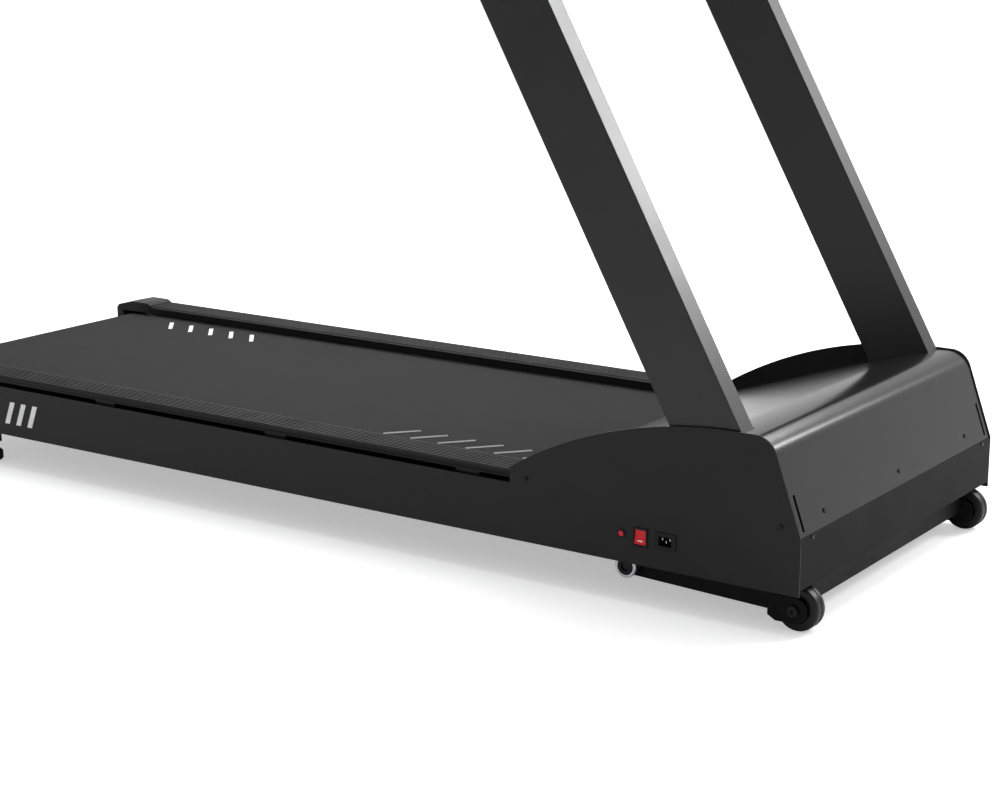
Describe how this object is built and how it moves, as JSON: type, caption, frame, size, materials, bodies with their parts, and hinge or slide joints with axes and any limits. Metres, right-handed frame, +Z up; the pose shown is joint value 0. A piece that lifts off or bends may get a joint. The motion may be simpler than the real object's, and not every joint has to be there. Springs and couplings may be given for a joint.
{
  "type": "treadmill",
  "caption": "Powered treadmill with a motor hood, running belt, ribbed foot rails, leaning uprights, console and a powered incline on small wheels.",
  "frame": {"origin": "on the floor under the middle of the overall length and width", "axes": "+Y the running direction, towards the motor hood; +X the runner's right; +Z up"},
  "size_m": [0.777, 2.1765, 1.4129],
  "materials": {
    "frame_steel": "black powder coat",
    "panel": "satin dark grey powder coat",
    "hood": "smooth satin powder coat",
    "cover": "fine moulded grain",
    "upright": "satin powder coat",
    "foot_rail": "ribbed, matte",
    "end_cap": "fine moulded grain",
    "belt": "woven top, fine texture",
    "deck": "laminated board",
    "rubber": "matte",
    "roller": "turned",
    "bright_steel": "bright",
    "cast": "machined",
    "motor": "gloss",
    "actuator": "satin",
    "aluminium": "extruded",
    "circuit": "board",
    "black_plastic": "moulded",
    "red_plastic": "gloss",
    "green_plastic": "gloss",
    "key_plastic": "matte",
    "console": "fine moulded grain",
    "screen": "dark, glossy",
    "wheel": "moulded",
    "grip": "foam rubber",
    "fastener": "blackened"
  },
  "bodies": {
    "frame": {"frame_rails": "frame_steel", "cross_members": "frame_steel", "frame_brackets": "frame_steel", "lift_pivot_lugs": "frame_steel", "deck": "deck", "deck_cushions": "rubber", "belly_pan": "frame_steel", "running_belt": "belt", "roller_bearings": "bright_steel", "roller_axles": "bright_steel", "tension_bolts": "bright_steel", "foot_rails": "foot_rail", "end_caps": "end_cap", "side_panel_right": "panel", "side_panel_left": "panel", "cover_screws": "fastener", "hood": "hood", "front_cover": "cover", "motor_casing": "motor", "drive_belt": "rubber", "controller_heatsink": "aluminium", "controller_board": "circuit", "power_inlet": "black_plastic", "switch_housing": "black_plastic", "breaker_body": "black_plastic", "actuator_bracket": "frame_steel", "uprights": "upright", "upright_bases": "frame_steel", "console_casing": "console", "console_face": "console", "display_screen": "screen", "handrails": "upright", "grips": "grip", "front_grip_bar": "upright"},
    "lift_frame": {"lift_arms": "frame_steel", "lift_tubes": "frame_steel", "wheel_forks": "frame_steel", "lift_pivot_pins": "bright_steel", "wheel_axles": "fastener"},
    "right_wheel": {"wheel_right": "wheel"},
    "left_wheel": {"wheel_left": "wheel"},
    "actuator": {"actuator_body": "actuator", "actuator_pin": "bright_steel"},
    "actuator_screw": {"actuator_rod": "bright_steel"},
    "front_roller_body": {"front_roller": "roller", "roller_pulley": "cast"},
    "rear_roller_body": {"rear_roller": "roller"},
    "motor_rotor": {"motor_shaft": "bright_steel", "flywheel": "cast"},
    "rocker": {"switch_rocker": "red_plastic"},
    "breaker": {"breaker_button": "red_plastic"},
    "right_foot": {"rear_foot_right": "rubber"},
    "left_foot": {"rear_foot_left": "rubber"},
    "start": {"start_key": "green_plastic"},
    "stop": {"stop_button": "red_plastic"},
    "speed_up": {"speed_up_key": "key_plastic"},
    "speed_down": {"speed_down_key": "key_plastic"},
    "incline_up": {"incline_up_key": "key_plastic"},
    "incline_down": {"incline_down_key": "key_plastic"}
  },
  "joints": [
    {"name": "lift", "type": "hinge", "parent": "frame", "child": "lift_frame", "pos_m": [0, 0.75075, 0.061], "axis": [-1, 0, 0], "range_deg": [0, 40]},
    {"name": "right_wheel_spin", "type": "hinge", "parent": "lift_frame", "child": "right_wheel", "pos_m": [0.336, 1.05075, 0.0375], "axis": [1, 0, 0], "continuous": true},
    {"name": "left_wheel_spin", "type": "hinge", "parent": "lift_frame", "child": "left_wheel", "pos_m": [-0.336, 1.05075, 0.0375], "axis": [1, 0, 0], "continuous": true},
    {"name": "actuator_swing", "type": "hinge", "parent": "frame", "child": "actuator", "pos_m": [-0.2, 0.94075, 0.261], "axis": [-1, 0, 0], "range_deg": [0, 5.17]},
    {"name": "actuator_extend", "type": "slide", "parent": "actuator", "child": "actuator_screw", "axis": [0, -0.0918, -0.9958], "range_m": [0, 0.1154]},
    {"name": "front_roller_spin", "type": "hinge", "parent": "frame", "child": "front_roller_body", "pos_m": [0, 0.64175, 0.138], "axis": [1, 0, 0], "continuous": true},
    {"name": "rear_roller_spin", "type": "hinge", "parent": "frame", "child": "rear_roller_body", "pos_m": [0, -1.01325, 0.138], "axis": [1, 0, 0], "continuous": true},
    {"name": "motor_spin", "type": "hinge", "parent": "frame", "child": "motor_rotor", "pos_m": [0.2, 0.80175, 0.2], "axis": [1, 0, 0], "continuous": true},
    {"name": "power_switch", "type": "hinge", "parent": "frame", "child": "rocker", "pos_m": [0.382, 0.78275, 0.118], "axis": [0, 1, 0], "range_deg": [0, 12]},
    {"name": "breaker_press", "type": "slide", "parent": "frame", "child": "breaker", "axis": [-1, 0, 0], "range_m": [0, 0.0015], "stiffness_N_per_m": 400},
    {"name": "right_foot_level", "type": "slide", "parent": "frame", "child": "right_foot", "axis": [0, 0, -1], "range_m": [0, 0.012]},
    {"name": "left_foot_level", "type": "slide", "parent": "frame", "child": "left_foot", "axis": [0, 0, -1], "range_m": [0, 0.012]},
    {"name": "start_press", "type": "slide", "parent": "frame", "child": "start", "axis": [0, 0.8192, -0.5736], "range_m": [0, 0.0015], "stiffness_N_per_m": 500},
    {"name": "speed_up_press", "type": "slide", "parent": "frame", "child": "speed_up", "axis": [0, 0.8192, -0.5736], "range_m": [0, 0.0015], "stiffness_N_per_m": 500},
    {"name": "speed_down_press", "type": "slide", "parent": "frame", "child": "speed_down", "axis": [0, 0.8192, -0.5736], "range_m": [0, 0.0015], "stiffness_N_per_m": 500},
    {"name": "incline_up_press", "type": "slide", "parent": "frame", "child": "incline_up", "axis": [0, 0.8192, -0.5736], "range_m": [0, 0.0015], "stiffness_N_per_m": 500},
    {"name": "incline_down_press", "type": "slide", "parent": "frame", "child": "incline_down", "axis": [0, 0.8192, -0.5736], "range_m": [0, 0.0015], "stiffness_N_per_m": 500},
    {"name": "stop_press", "type": "slide", "parent": "frame", "child": "stop", "axis": [0, 0.8192, -0.5736], "range_m": [0, 0.004], "stiffness_N_per_m": 600}
  ],
  "couplings": [
    {"joint": "actuator_swing", "follows": "lift", "ratio": 0.128},
    {"joint": "actuator_extend", "follows": "lift", "m_per_rad": 0.165},
    {"joint": "rear_roller_spin", "follows": "front_roller_spin", "ratio": 1},
    {"joint": "motor_spin", "follows": "front_roller_spin", "ratio": 2}
  ]
}
